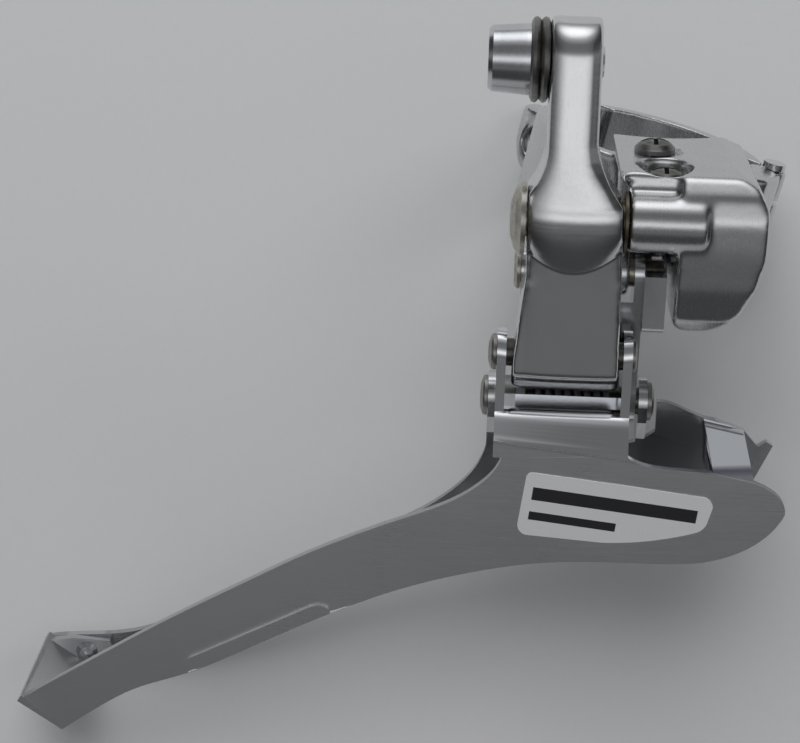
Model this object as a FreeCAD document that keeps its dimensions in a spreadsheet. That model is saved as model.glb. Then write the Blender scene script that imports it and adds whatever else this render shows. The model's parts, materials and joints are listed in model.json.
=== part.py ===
import FreeCAD, Part
import math
import os
import Sketcher
from FreeCAD import Vector, Placement, Rotation

# Bicycle front derailleur with a hinged seat-tube clamp, in millimetres.
# Seat frame: origin on the seat tube axis at mid clamp height, +Z up the seat
# tube, +X towards the front of the bicycle, +Y towards its left side.
# Linkage frame: origin on the upper outer pivot, x forwards along the pivot
# pins, y towards the seat tube, z square to both. "Inner" is the +y side.

doc = FreeCAD.newDocument("front_derailleur")

# ---------------------------------------------------------------- sizes
# _r is a radius, _t a thickness; _rear and _front are places along a frame's x.
SIZES = {
    # clamp ring, hinge and lug
    "tube_radius": 15.9, "ring_wall": 2.4, "ring_width": 16.0, "ring_gap": 1.2,
    "hinge_x": 19.6, "hinge_knuckle_r": 2.2, "hinge_pin_r": 1.1, "hinge_mid": 2.85,
    "split_turn": 30.0, "lug_x": -18.2, "lug_half": 5.0,
    "clamp_bolt_r": 2.5, "clamp_head_r": 4.2, "clamp_head_len": 5.0, "clamp_washer_t": 1.0,
    # tube axis origin seen from the linkage, before the rake is applied
    "ring_off_x": 10.7, "ring_off_y": 37.0, "ring_off_z": -4.5, "pin_rake": 12.0,
    # four-bar linkage and its pins
    "link_len": 20.5, "rest_lean": 5.5, "ground_y": 8.0, "ground_z": -9.7,
    "upper_pin_r": 2.5, "bush_r": 3.1, "small_pin_r": 2.0, "run_gap": 0.05,
    # outer link with its cable arm
    "arm_reach": 21.9, "arm_lean": 12.0, "arm_rear": -4.9, "arm_front": 2.2,
    "boss_face": 6.85, "link_rear": -8.4, "link_front": 7.1,
    "anchor_r": 2.5, "washer_r": 5.9, "anchor_head_r": 4.9,
    # inner link
    "wall_rear": -7.4, "wall_front": 10.2, "wall_t": 1.4, "inner_r": 3.2, "stop_end": 13.2,
    # cage plates and ears
    "plate_t": 1.2, "outer_face": -5.0, "inner_face": 8.0,
    "ear_rear": -10.4, "ear_front": 8.8, "ear_t": 1.3,
    "outer_ear_rear": -11.4, "outer_ear_front": 12.0,
    "shelf_top": -27.8, "bend_r": 5.0,
    # limit screws and the bracket's top
    "screw_r": 1.5, "screw_head_r": 2.9, "top_face": 7.4,
    # return spring
    "wire_d": 1.3, "coil_r": 3.35, "coil_turns": 8.0, "coil_pitch": 1.42,
}
sheet = doc.addObject("Spreadsheet::Sheet", "Dims")
for row, (alias, size) in enumerate(SIZES.items(), start=1):
    sheet.set("A%d" % row, alias.replace("_", " "))
    sheet.set("B%d" % row, repr(size))
    sheet.setAlias("B%d" % row, alias)
doc.recompute()


class Bound:
    """A number together with the sheet expression that drives it."""

    def __init__(self, value, text):
        self.value = value
        self.text = text

    def __add__(self, other):
        other = as_bound(other)
        return Bound(self.value + other.value, "(%s + %s)" % (self.text, other.text))

    def __sub__(self, other):
        other = as_bound(other)
        return Bound(self.value - other.value, "(%s - %s)" % (self.text, other.text))

    def __rsub__(self, other):
        return as_bound(other) - self

    def __mul__(self, other):
        other = as_bound(other)
        return Bound(self.value * other.value, "(%s * %s)" % (self.text, other.text))

    def __neg__(self):
        return 0 - self


def as_bound(value):
    if isinstance(value, Bound):
        return value
    return Bound(float(value), "(%r)" % float(value))


def dim(alias):
    return Bound(SIZES[alias], "Dims." + alias)


def num(value):
    return value.value if isinstance(value, Bound) else float(value)


def vec(point):
    return Vector(*[num(value) for value in point])


def bind(obj, path, value):
    if isinstance(value, Bound):
        obj.setExpression(path, value.text)


def set_size(obj, prop, value):
    setattr(obj, prop, num(value))
    bind(obj, prop, value)


# --------------------------------------------------- frames and pivots
rake = Rotation(Vector(0, 1, 0), -SIZES["pin_rake"])
ring_offset = Vector(-SIZES["ring_off_x"], -SIZES["ring_off_y"], -SIZES["ring_off_z"])
SEAT = Placement()
LINK = Placement(rake.multVec(ring_offset), rake)

# The band parts from the bracket on a plane through the hinge axis, turned about it.
hinge = Vector(SIZES["hinge_x"], 0, 0)
SPLIT = Placement(hinge, Rotation(Vector(0, 0, 1), -SIZES["split_turn"])).multiply(
    Placement(-hinge, Rotation()))

X_AXIS = Vector(1, 0, 0)
Y_AXIS = Vector(0, 1, 0)
Z_AXIS = Vector(0, 0, 1)
# Turns that lay a sketch on a plane, and a turned part's x axis along y or z.
PLANE_TURN = {
    "XY": Rotation(),
    "XZ": Rotation(X_AXIS, 90),
    "YZ": Rotation(Y_AXIS, Z_AXIS, X_AXIS, "ZXY"),
}
X_TO_Y = Rotation(Z_AXIS, 90)
X_TO_Z = Rotation(Y_AXIS, -90)

lean = math.radians(SIZES["rest_lean"])
DOWN_Y, DOWN_Z = math.sin(lean), -math.cos(lean)    # down the links
OUT_Y, OUT_Z = -DOWN_Z, DOWN_Y                      # square to them, towards +y
arm_angle = math.radians(SIZES["arm_lean"])
UP_OUTER = Vector(0, 0, 0)
UP_INNER = Vector(0, SIZES["ground_y"], SIZES["ground_z"])
LOW_OUTER = Vector(0, DOWN_Y, DOWN_Z) * SIZES["link_len"]
LOW_INNER = LOW_OUTER + UP_INNER
ANCHOR = Vector(0, math.sin(arm_angle), math.cos(arm_angle)) * SIZES["arm_reach"]

# ------------------------------------------------------- shared values
HALF_WIDTH = dim("ring_width") * 0.5
RING_R = dim("tube_radius") + dim("ring_wall")
HALF_GAP = dim("ring_gap") * 0.5
KNUCKLE_R = dim("hinge_knuckle_r")
KNUCKLE_CLEAR_R = KNUCKLE_R + 0.3
HINGE_SLOT = 3.0            # half height of the bracket's slot for the band knuckle
SPOT_FACE = 4.6             # seat of the clamp washer, off the split plane
LOW_SCREW = (10.9, 11.5)    # limit screws, linkage x and y
HIGH_SCREW = (12.1, 4.7)
SMALL_PIN_R = dim("small_pin_r")
SMALL_RUN_R = SMALL_PIN_R + dim("run_gap")
SMALL_FIT_R = SMALL_PIN_R + 0.02
OUTER_Y = SIZES["outer_face"]
INNER_Y = SIZES["inner_face"]
PLATE_T = SIZES["plate_t"]
BRIDGE_RIVET = (23.7, -37.3)    # linkage x and z
TAIL_RIVET = (-72.2, -74.5)
RIVET_HOLE_R = 1.02


# ------------------------------------------------------------- sketches
def arc_middle(center, radius, start, end):
    toward = (start - center).normalize() + (end - center).normalize()
    return center + toward.normalize() * radius


def split_arcs(points, arcs):
    """Arcs of 2 radians or more become two, which solve cleanly."""
    out_points, out_arcs = [], {}
    for i, point in enumerate(points):
        out_points.append(point)
        if i not in arcs:
            continue
        start = vec(point)
        middle = vec(arcs[i])
        end = vec(points[(i + 1) % len(points)])
        arc = Part.Arc(start, middle, end).toShape()
        center, radius = arc.Curve.Center, arc.Curve.Radius
        if arc.Length / radius < 2.0:
            out_arcs[len(out_points) - 1] = arcs[i]
            continue
        first = arc_middle(center, radius, start, middle)
        second = arc_middle(center, radius, middle, end)
        out_arcs[len(out_points) - 1] = (first.x, first.y)
        out_points.append((middle.x, middle.y))
        out_arcs[len(out_points) - 1] = (second.x, second.y)
    return out_points, out_arcs


def outline(sketch, points, arcs=None):
    """Closed outline; arcs maps a side's number to a point its arc passes."""
    points, arcs = split_arcs(points, arcs or {})
    corners = [vec(point) for point in points]
    count = len(corners)
    for i, corner in enumerate(corners):
        following = corners[(i + 1) % count]
        if i in arcs:
            sketch.addGeometry(Part.Arc(corner, vec(arcs[i]), following), False)
        else:
            sketch.addGeometry(Part.LineSegment(corner, following), False)
    if arcs:
        # an outline with arcs is held where it is drawn; its extrusion carries the sizes
        block(sketch, count)
        return
    for i, point in enumerate(points):
        sketch.addConstraint(Sketcher.Constraint("Coincident", i, 2, (i + 1) % count, 1))
        for kind, value in zip(("DistanceX", "DistanceY"), point):
            constraint = Sketcher.Constraint(kind, -1, 1, i, 1, num(value))
            bind(sketch, "Constraints[%d]" % sketch.addConstraint(constraint), value)


def circle(sketch, across, up, radius):
    center = Vector(num(across), num(up), 0)
    edge = sketch.addGeometry(Part.Circle(center, Z_AXIS, num(radius)), False)
    for kind, value, axis in (("DistanceX", across, -2), ("DistanceY", up, -1)):
        if abs(num(value)) < 1e-9:
            sketch.addConstraint(Sketcher.Constraint("PointOnObject", edge, 3, axis))
            continue
        constraint = Sketcher.Constraint(kind, -1, 1, edge, 3, num(value))
        bind(sketch, "Constraints[%d]" % sketch.addConstraint(constraint), value)
    index = sketch.addConstraint(Sketcher.Constraint("Radius", edge, num(radius)))
    bind(sketch, "Constraints[%d]" % index, radius)


def curves(sketch, runs):
    """Closed outline; each run goes on from the end of the one before it.

    A run of one point is a line, a longer run is a fair curve.
    """
    start = runs[-1][-1]
    for run in runs:
        points = [Vector(x, y, 0) for x, y in [start] + run]
        if len(run) == 1:
            edge = Part.LineSegment(*points)
        else:
            edge = Part.BSplineCurve()
            edge.interpolate(points)
        sketch.addGeometry(edge, False)
        start = run[-1]
    block(sketch, len(runs))


def block(sketch, count):
    for i in range(count):
        sketch.addConstraint(Sketcher.Constraint("Block", i))


def around(center, offsets):
    return [(center.y + y, center.z + z) for y, z in offsets]


def hexagon(radius):
    angles = [math.radians(60 * i) for i in range(6)]
    return [(radius * math.cos(angle), radius * math.sin(angle)) for angle in angles]


# --------------------------------------------------------------- bodies
PARTS = []


class Piece:
    """One PartDesign body built from sketches on its own origin planes.

    Pads and cuts run from low to high along the axis square to their plane;
    draw is the function that fills the sketch from the remaining arguments.
    """

    def __init__(self, label, place=LINK):
        self.body = doc.addObject("PartDesign::Body", label)
        self.label = label
        self.place = place
        self.count = 0

    def sketch(self, plane, offset, draw, *shape):
        """A sketch at an offset along its normal, which is -y for XZ."""
        self.count += 1
        name = "%s_sk%d" % (self.label, self.count)
        sketch = self.body.newObject("Sketcher::SketchObject", name)
        features = self.body.Origin.OriginFeatures
        support = [item for item in features if item.Role == plane + "_Plane"][0]
        sketch.AttachmentSupport = [(support, "")]
        sketch.MapMode = "FlatFace"
        sketch.AttachmentOffset = Placement(Vector(0, 0, num(offset)), Rotation())
        bind(sketch, ".AttachmentOffset.Base.z", offset)
        draw(sketch, *shape)
        doc.recompute()
        return sketch

    def feature(self, kind, name, sketch):
        feature = self.body.newObject("PartDesign::" + kind, "%s_%s" % (self.label, name))
        feature.Profile = sketch
        return feature

    def close(self, feature):
        doc.recompute()
        self.body.Tip = feature

    def pad(self, plane, low, high, draw, *shape):
        sketch = self.sketch(plane, -high if plane == "XZ" else low, draw, *shape)
        pad = self.feature("Pad", "pad%d" % self.count, sketch)
        set_size(pad, "Length", high - low)
        self.close(pad)

    def cut(self, plane, low, high, draw, *shape):
        sketch = self.sketch(plane, -low if plane == "XZ" else high, draw, *shape)
        pocket = self.feature("Pocket", "cut%d" % self.count, sketch)
        set_size(pocket, "Length", high - low)
        self.close(pocket)

    def strip(self, points, start_y, end_y, lean_x, lean_z):
        """An outline carried from start_y to end_y while it leans in x and z."""
        sketch = self.sketch("XZ", -start_y, outline, points)
        path = Vector(lean_x, end_y - start_y, lean_z)
        pad = self.feature("Pad", "strip%d" % self.count, sketch)
        pad.UseCustomVector = True
        pad.Direction = path
        pad.AlongSketchNormal = False
        pad.Length = path.Length
        self.close(pad)

    def revolve(self, profile):
        """Turns a profile of (x, radius) points about the x axis."""
        sketch = self.sketch("XY", 0, outline, profile)
        turn = self.feature("Revolution", "turn", sketch)
        turn.ReferenceAxis = (sketch, ["H_Axis"])
        turn.Angle = 360
        self.close(turn)

    def done(self, at=UP_OUTER, turn=Rotation()):
        self.body.Placement = self.place.multiply(Placement(at, turn))
        doc.recompute()
        PARTS.append(self.body)


def turned(label, at, profile, turn=Rotation(), place=LINK, socket=None):
    """A turned part; socket is (low x, high x, outline) of a cut in its end."""
    piece = Piece(label, place)
    piece.revolve(profile)
    if socket:
        low, high, points = socket
        piece.cut("YZ", low, high, outline, points)
    piece.done(at, turn)


# --------------------------------------------------- primitives, booleans
def cylinder(label, radius, height, start, axis, place):
    obj = doc.addObject("Part::Cylinder", label)
    set_size(obj, "Radius", radius)
    set_size(obj, "Height", height)
    obj.Placement = place.multiply(Placement(vec(start), Rotation(Z_AXIS, axis)))
    return obj


def seat_through(label, radius, x):
    return cylinder(label, radius, 80, (x, 0, -40), Z_AXIS, SEAT)


def link_through(label, radius, pivot):
    return cylinder(label, radius, 40, (-20, pivot.y, pivot.z), X_AXIS, LINK)


def box(label, low, high, place):
    obj = doc.addObject("Part::Box", label)
    for prop, start, end in zip(("Length", "Width", "Height"), low, high):
        set_size(obj, prop, end - start)
    obj.Placement = place.multiply(Placement(vec(low), Rotation()))
    return obj


def prism(label, plane, low, high, points, place, arcs=None):
    """An outline on a frame's plane, extruded from low to high."""
    sketch = doc.addObject("Sketcher::SketchObject", label + "_outline")
    outline(sketch, points, arcs)
    base = {"XY": (0, 0, low), "XZ": (0, high, 0), "YZ": (low, 0, 0)}[plane]
    sketch.Placement = place.multiply(Placement(vec(base), PLANE_TURN[plane]))
    extrusion = doc.addObject("Part::Extrusion", label)
    extrusion.Base = sketch
    extrusion.DirMode = "Normal"
    extrusion.Solid = True
    set_size(extrusion, "LengthFwd", high - low)
    return extrusion


def combine(kind, label, items):
    result = doc.addObject("Part::Multi" + kind, label)
    result.Shapes = items
    result.Refine = True
    return result


def cut(label, base, tool):
    result = doc.addObject("Part::Cut", label)
    result.Base = base
    result.Tool = tool
    result.Refine = True
    return result


# ======================================================= clamp
def linkage_block():
    """The bracket's block: its front outline crossed with its side outline."""
    top = dim("top_face")
    boss = dim("boss_face")
    front = prism("block_front", "XZ", -3.5, 26.0, [
        (21.5, top), (24.8, 5.6), (26.3, 2.5), (26.3, -4.0), (25.2, -8.5), (23.2, -12.8),
        (20.6, -15.2), (18.6, -15.9), (15.2, -15.9), (14.0, -14.8), (14.0, -3.6),
        (boss, -3.6), (boss, 3.0), (5.2, top)], LINK)
    side = prism("block_side", "YZ", 5.0, 27.5, [
        (26.0, top), (3.2, top), (0.2, 6.6), (-1.8, 4.4), (-2.8, 1.0), (-3.0, -3.6),
        (-2.6, -9.0), (-1.6, -13.6), (0.6, -15.9), (10.5, -15.9), (16.5, -13.4),
        (26.0, -10.0)], LINK)
    shoulder = prism("shoulder_trim", "YZ", 6.5, 14.0, [
        (-6.0, -3.7), (-6.0, 9.0), (0.9, 9.0), (0.9, 6.0), (0.4, 3.5), (0.4, -3.7)], LINK)
    return cut("block_trimmed", combine("Common", "block", [front, side]), shoulder)


def base_bracket():
    hinge_x = dim("hinge_x")
    slot = HINGE_SLOT
    ground_y, ground_z = dim("ground_y"), dim("ground_z")
    saddle = cut(
        "saddle_half",
        cylinder("saddle", RING_R, dim("ring_width"), (0, 0, -HALF_WIDTH), Z_AXIS, SEAT),
        box("saddle_trim", (-40, -HALF_GAP, -30), (40, 60, 30), SPLIT))
    solid = combine("Fuse", "bracket_solid", [
        linkage_block(),
        cylinder("knuckle", 4.2, 10.95, (dim("boss_face"), 0, 0), X_AXIS, LINK),
        prism("back_wall", "YZ", 7.8, 14.2, [
            (14.4, -12.0), (14.4, -3.0), (25.0, -3.0), (25.0, -12.0)], LINK),
        cylinder("inner_lug", 3.4, 13.9, (-5.7, ground_y, ground_z), X_AXIS, LINK),
        prism("inner_lug_web", "YZ", -5.7, 8.2, [
            (8.0, -13.1), (8.0, -6.3), (13.5, -6.0), (25.0, -4.6), (25.0, -12.0)], LINK),
        saddle,
        cylinder("hinge_low", KNUCKLE_R, HALF_WIDTH - slot, (hinge_x, 0, -HALF_WIDTH),
                 Z_AXIS, SEAT),
        cylinder("hinge_high", KNUCKLE_R, HALF_WIDTH - slot, (hinge_x, 0, slot),
                 Z_AXIS, SEAT),
        box("hinge_arm_low", (14.0, -KNUCKLE_R, -HALF_WIDTH), (hinge_x, -0.5, -slot), SEAT),
        box("hinge_arm_high", (14.0, -KNUCKLE_R, slot), (hinge_x, -0.5, HALF_WIDTH), SEAT),
        prism("hinge_gusset", "XY", -HALF_WIDTH, HALF_WIDTH, [
            (12.0, -11.0), (17.6, -9.5), (19.8, -6.0), (20.6, -2.8), (18.6, -2.2),
            (14.0, -0.6)], SEAT),
        prism("clamp_lug_base", "XY", -dim("lug_half"), dim("lug_half"), [
            (-11.0, -0.9), (-22.2, -0.9), (-22.9, -1.6), (-22.6, -5.2), (-21.4, -6.1),
            (-18.0, -7.2), (-15.2, -10.5), (-13.5, -10.5)], SPLIT),
    ])
    screw_hole_r = dim("screw_r") + 0.05
    tools = combine("Fuse", "bracket_cuts", [
        seat_through("tube_bore", dim("tube_radius"), 0),
        box("split_cut", (-40, -HALF_GAP, -30), (17.2, 60, 30), SPLIT),
        box("hinge_slot", (17.0, -HALF_GAP, -slot), (40, 60, slot), SPLIT),
        cylinder("hinge_slot_round", KNUCKLE_CLEAR_R, 2 * slot, (hinge_x, 0, -slot),
                 Z_AXIS, SEAT),
        seat_through("hinge_hole", dim("hinge_pin_r") + 0.02, hinge_x),
        cylinder("clamp_thread", dim("clamp_bolt_r") + 0.03, 18, (dim("lug_x"), -8.5, 0),
                 Y_AXIS, SPLIT),
        cylinder("upper_pin_hole", dim("upper_pin_r") + 0.02, 8.4, (6.0, 0, 0),
                 X_AXIS, LINK),
        cylinder("inner_pin_hole", SMALL_FIT_R, 22.0, (-9.0, ground_y, ground_z),
                 X_AXIS, LINK),
        cylinder("high_screw_hole", screw_hole_r, 30, (*HIGH_SCREW, -12), Z_AXIS, LINK),
        cylinder("high_screw_recess", 3.7, 10, (*HIGH_SCREW, 4.9), Z_AXIS, LINK),
        cylinder("low_screw_hole", screw_hole_r, 30, (*LOW_SCREW, -12), Z_AXIS, LINK),
        cylinder("link_room", 5.6, 14.2, (-7.4, 0, 0), X_AXIS, LINK),
        prism("stop_room", "YZ", 8.3, 14.0, [
            (1.6, -3.7), (14.4, -3.7), (14.4, -18.0), (-6.0, -18.0), (-6.0, -4.4)], LINK),
    ])
    PARTS.append(cut("base_bracket", solid, tools))


def clamp_band():
    hinge_x = dim("hinge_x")
    middle = dim("hinge_mid")
    ring = cut(
        "band_half",
        cylinder("band_ring", RING_R, dim("ring_width"), (0, 0, -HALF_WIDTH), Z_AXIS, SEAT),
        box("band_trim", (-40, -60, -30), (40, HALF_GAP, 30), SPLIT))
    solid = combine("Fuse", "band_solid", [
        ring,
        cylinder("band_knuckle", KNUCKLE_R, middle * 2, (hinge_x, 0, -middle), Z_AXIS, SEAT),
        box("band_arm", (14.0, 0.5, -middle), (hinge_x, KNUCKLE_R, middle), SPLIT),
        prism("clamp_lug_band", "XY", -dim("lug_half"), dim("lug_half"), [
            (-11.0, 0.9), (-7.0, 5.2), (-5.2, 6.6), (-8.6, 7.4), (-12.5, 6.2), (-16.0, 5.4),
            (-21.4, 5.3), (-22.6, 4.6), (-22.9, 1.6), (-22.2, 0.9)], SPLIT),
    ])
    lug_x = dim("lug_x")
    tools = combine("Fuse", "band_cuts", [
        seat_through("band_bore", dim("tube_radius"), 0),
        seat_through("band_pin_hole", dim("hinge_pin_r") + 0.05, hinge_x),
        cylinder("band_bolt_hole", 3.3, 12, (lug_x, -2, 0), Y_AXIS, SPLIT),
        cylinder("band_spot_face", 5.4, 10, (lug_x, SPOT_FACE, 0), Y_AXIS, SPLIT),
        cylinder("band_relief_low", KNUCKLE_CLEAR_R, 10, (hinge_x, 0, -12.95), Z_AXIS, SEAT),
        cylinder("band_relief_high", KNUCKLE_CLEAR_R, 10, (hinge_x, 0, 2.95), Z_AXIS, SEAT),
    ])
    PARTS.append(cut("clamp_band", solid, tools))


def clamp_hinge_pin():
    pin = Piece("clamp_hinge_pin", SEAT)
    pin.pad("XY", -HALF_WIDTH - 0.5, HALF_WIDTH + 0.5,
            circle, dim("hinge_x"), 0, dim("hinge_pin_r"))
    pin.pad("XY", HALF_WIDTH + 0.02, HALF_WIDTH + 1.0, circle, dim("hinge_x"), 0, 1.8)
    pin.done()


def clamp_bolt():
    """Socket-head bolt and washer, square to the split at the rear lug."""
    lug_x = SIZES["lug_x"]
    washer_t = dim("clamp_washer_t")
    head_r, head_len = dim("clamp_head_r"), dim("clamp_head_len")
    bolt_r = dim("clamp_bolt_r")
    turned("clamp_bolt", Vector(lug_x, SPOT_FACE + num(washer_t) + 0.04, 0), [
        (-10.2, 0), (head_len, 0), (head_len, head_r - 0.6), (head_len - 0.6, head_r),
        (0, head_r), (0, bolt_r), (-9.6, bolt_r), (-10.2, bolt_r - 0.5)],
        X_TO_Y, SPLIT, (2.2, head_len + 0.5, hexagon(2.31)))
    turned("clamp_bolt_washer", Vector(lug_x, SPOT_FACE + 0.02, 0), [
        (0, 2.6), (washer_t, 2.6), (washer_t, 4.7), (0, 4.7)], X_TO_Y, SPLIT)


def limit_screw(label, place_xy, seat, tip):
    """Cross-head screw; seat and tip are heights in the linkage frame."""
    head_r, screw_r = dim("screw_head_r"), dim("screw_r")
    end, half = 1.9, 0.32    # reach and half width of the cross recess
    cross = [(-end, -half), (-half, -half), (-half, -end), (half, -end),
             (half, -half), (end, -half), (end, half), (half, half),
             (half, end), (-half, end), (-half, half), (-end, half)]
    turned(label, Vector(*place_xy, 0), [
        (tip, 0), (seat + 1.9, 0), (seat + 1.75, 1.2), (seat + 1.3, 2.2),
        (seat + 0.6, head_r), (seat, head_r), (seat, screw_r), (tip + 3.2, screw_r),
        (tip + 2.7, 0.66), (tip, 0.66)], X_TO_Z, LINK, (seat + 0.7, seat + 3.0, cross))


# ======================================================= linkage
def upper_pivots():
    pin_r = dim("upper_pin_r")
    run_r = pin_r + dim("run_gap")
    small_r = SMALL_PIN_R
    turned("upper_outer_pin", UP_OUTER, [
        (-9.5, 0), (-9.35, 2.3), (-8.75, 4.2), (-7.95, 5.1), (-7.3, 5.1), (-7.3, pin_r),
        (13.9, pin_r), (14.3, pin_r - 0.4), (14.3, 0)])
    turned("upper_inner_pin", UP_INNER, [
        (-8.4, 0), (-8.4, 2.4), (-8.0, 2.9), (-7.5, 2.9), (-7.5, small_r),
        (13.0, small_r), (13.4, small_r - 0.4), (13.4, 0)])
    turned("upper_pivot_bush", UP_OUTER, [
        (-7.0, run_r), (6.79, run_r), (6.79, 4.4), (6.37, 4.4), (6.37, dim("bush_r")),
        (-7.0, dim("bush_r"))])


def outer_link():
    """Link and cable arm: the side outline crossed with the front outline."""
    eye = around(ANCHOR, [(-5.75, 1.7), (5.9, -1.2), (0.9, 6.0)])
    side = prism("link_side", "YZ", dim("link_rear"), dim("link_front"), eye[:2] + [
        (5.3, 5.6), (5.2, 0.5), (4.0, -4.2), (3.35, -7.5), (3.75, -14.5), (5.1, -18.8),
        (5.2, -21.2), (-0.6, -25.0), (-3.0, -22.4), (-4.3, -10.0), (-5.2, -0.8),
        (-4.9, 2.6)], LINK, {0: eye[2], 8: (3.3, -24.6), 12: (-5.3, 0.9)})
    rear, front = dim("arm_rear"), dim("arm_front")
    face = prism("link_front", "XZ", -12, 14, [
        (rear, 31), (rear, 11.4), (-7.15, 4.2), (-6.9, -7.5), (-8.3, -20.0), (-8.3, -24.4),
        (-7.4, -25.6), (6.3, -25.6), (7.0, -24.4), (6.5, -12.0), (6.12, 2.8), (front, 11.0),
        (front, 31)], LINK, {1: (-5.35, 7.5), 10: (3.2, 7.6)})
    tools = combine("Fuse", "link_cuts", [
        prism("link_hollow", "YZ", -5.6, 4.4, [
            (-1.6, -7.0), (-1.0, -15.6), (9.0, -15.6), (9.0, -7.0)], LINK),
        link_through("link_bore", dim("bush_r") + 0.02, UP_OUTER),
        link_through("link_bore_low", SMALL_RUN_R, LOW_OUTER),
        link_through("link_thread", dim("anchor_r") + 0.03, ANCHOR),
        box("link_groove", (-6.2, ANCHOR.y + 2.6, ANCHOR.z - 9.0),
            (-4.35, ANCHOR.y + 3.9, ANCHOR.z + 9.0), LINK),
    ])
    PARTS.append(cut("outer_link", combine("Common", "link_form", [side, face]), tools))


def cable_anchor():
    head_r, bolt_r = dim("anchor_head_r"), dim("anchor_r")
    rim_r = dim("washer_r")
    turned("cable_anchor_bolt", ANCHOR, [
        (-13.3, 0), (-13.3, 4.15), (-12.7, 4.55), (-11.7, 4.6), (-8.1, head_r),
        (-7.56, head_r), (-7.56, bolt_r), (2.1, bolt_r), (2.6, bolt_r - 0.5), (2.6, 0)],
        socket=(-14.0, -10.4, hexagon(2.88)))
    turned("cable_clamp_washer", ANCHOR, [
        (-7.53, 2.6), (-4.94, 2.6), (-4.94, 5.2), (-5.22, 5.75), (-5.67, rim_r),
        (-6.02, 5.65), (-6.22, 5.4), (-6.42, 5.65), (-6.77, rim_r), (-7.22, 5.75),
        (-7.53, 5.2)])


def on_link(down, out):
    """A point of the inner link, down it from its upper pivot and out square to it."""
    return (UP_INNER.y + DOWN_Y * down + OUT_Y * out,
            UP_INNER.z + DOWN_Z * down + OUT_Z * out)


def inner_link():
    end_r, length = SIZES["inner_r"], SIZES["link_len"]
    rear, front, wall = dim("wall_rear"), dim("wall_front"), dim("wall_t")
    link = Piece("inner_link")
    link.pad("YZ", rear, front, outline, [
        on_link(0, -end_r), on_link(0, end_r), on_link(length, end_r),
        on_link(length, -end_r)],
        {0: on_link(-end_r, 0), 2: on_link(length + end_r, 0)})
    # open the channel between the side walls, and make room round both pivots
    channel = [on_link(-8, -1.7), on_link(-8, 8), on_link(length + 8, 8),
               on_link(length + 8, -1.7)]
    for shape in ((outline, channel),
                  (circle, UP_INNER.y, UP_INNER.z, 4.6),
                  (circle, LOW_INNER.y, LOW_INNER.z, 4.5)):
        link.cut("YZ", rear + wall, front - wall, *shape)
    # stop on the front wall
    stop = around(UP_INNER, [
        (-5.2, 1.0), (5.2, 1.0), (5.2, -1.6), (2.6, -3.1), (-0.6, -3.4), (-2.2, -6.6),
        (-5.2, -6.6), (-3.7, -7.6)])
    link.pad("YZ", front - 0.1, dim("stop_end"), outline, stop[:7], {5: stop[7]})
    for pivot in (UP_INNER, LOW_INNER):
        link.cut("YZ", -20, 20, circle, pivot.y, pivot.z, SMALL_RUN_R)
    link.done()


def lower_pivots():
    pin_r = SMALL_PIN_R
    turned("lower_outer_pin", LOW_OUTER, [
        (-11.7, 0), (-11.6, 1.4), (-11.2, 2.45), (-10.9, 2.6), (-10.45, 2.6),
        (-10.45, pin_r), (8.84, pin_r), (8.84, 2.6), (9.3, 2.5), (9.55, 1.8), (9.55, 0)])
    turned("lower_inner_pin", LOW_INNER, [
        (-12.6, 0), (-12.5, 1.8), (-12.15, 2.85), (-11.9, 3.0), (-11.45, 3.0),
        (-11.45, pin_r), (12.04, pin_r), (12.04, 2.9), (12.7, 2.8), (13.05, 1.9),
        (13.05, 0)])
    turned("lower_pivot_spacer", LOW_INNER, [
        (-9.9, pin_r + 0.06), (-7.5, pin_r + 0.06), (-7.5, 3.1), (-9.9, 3.1)])


def return_spring():
    """Torsion coil round the lower inner pivot, one leg up the link."""
    wire_r = SIZES["wire_d"] / 2.0
    coil_r, pitch = SIZES["coil_r"], SIZES["coil_pitch"]
    length = pitch * SIZES["coil_turns"]
    start = Vector(coil_r, 0, 0)
    end = Vector(coil_r, 0, length)
    slope = Vector(0, 1, pitch / (2 * math.pi * coil_r))
    section = Part.Wire(Part.makeCircle(wire_r, start, slope))
    helix = Part.makeHelix(pitch, length, coil_r)
    coil = Part.Wire(helix.Edges).makePipeShell([section], True, True)
    shape = coil.fuse([
        Part.makeCylinder(wire_r, 7.0, end, Vector(0, 1, 0)),
        Part.makeCylinder(wire_r, 1.0, start, Vector(0, -1, 0)),
        Part.makeSphere(wire_r, end),
        Part.makeSphere(wire_r, start),
    ]).removeSplitter()
    spring = doc.addObject("Part::Feature", "return_spring")
    spring.Shape = shape.Solids[0] if len(shape.Solids) == 1 else shape
    # the coil's z lies along the pins, its y runs up the link and its x outwards from it
    turn = Rotation(Vector(0, OUT_Y, OUT_Z), Vector(0, -DOWN_Y, -DOWN_Z), X_AXIS, "ZXY")
    at = Vector(-4.6, LOW_INNER.y, LOW_INNER.z)
    spring.Placement = LINK.multiply(Placement(at, turn))
    PARTS.append(spring)


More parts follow.
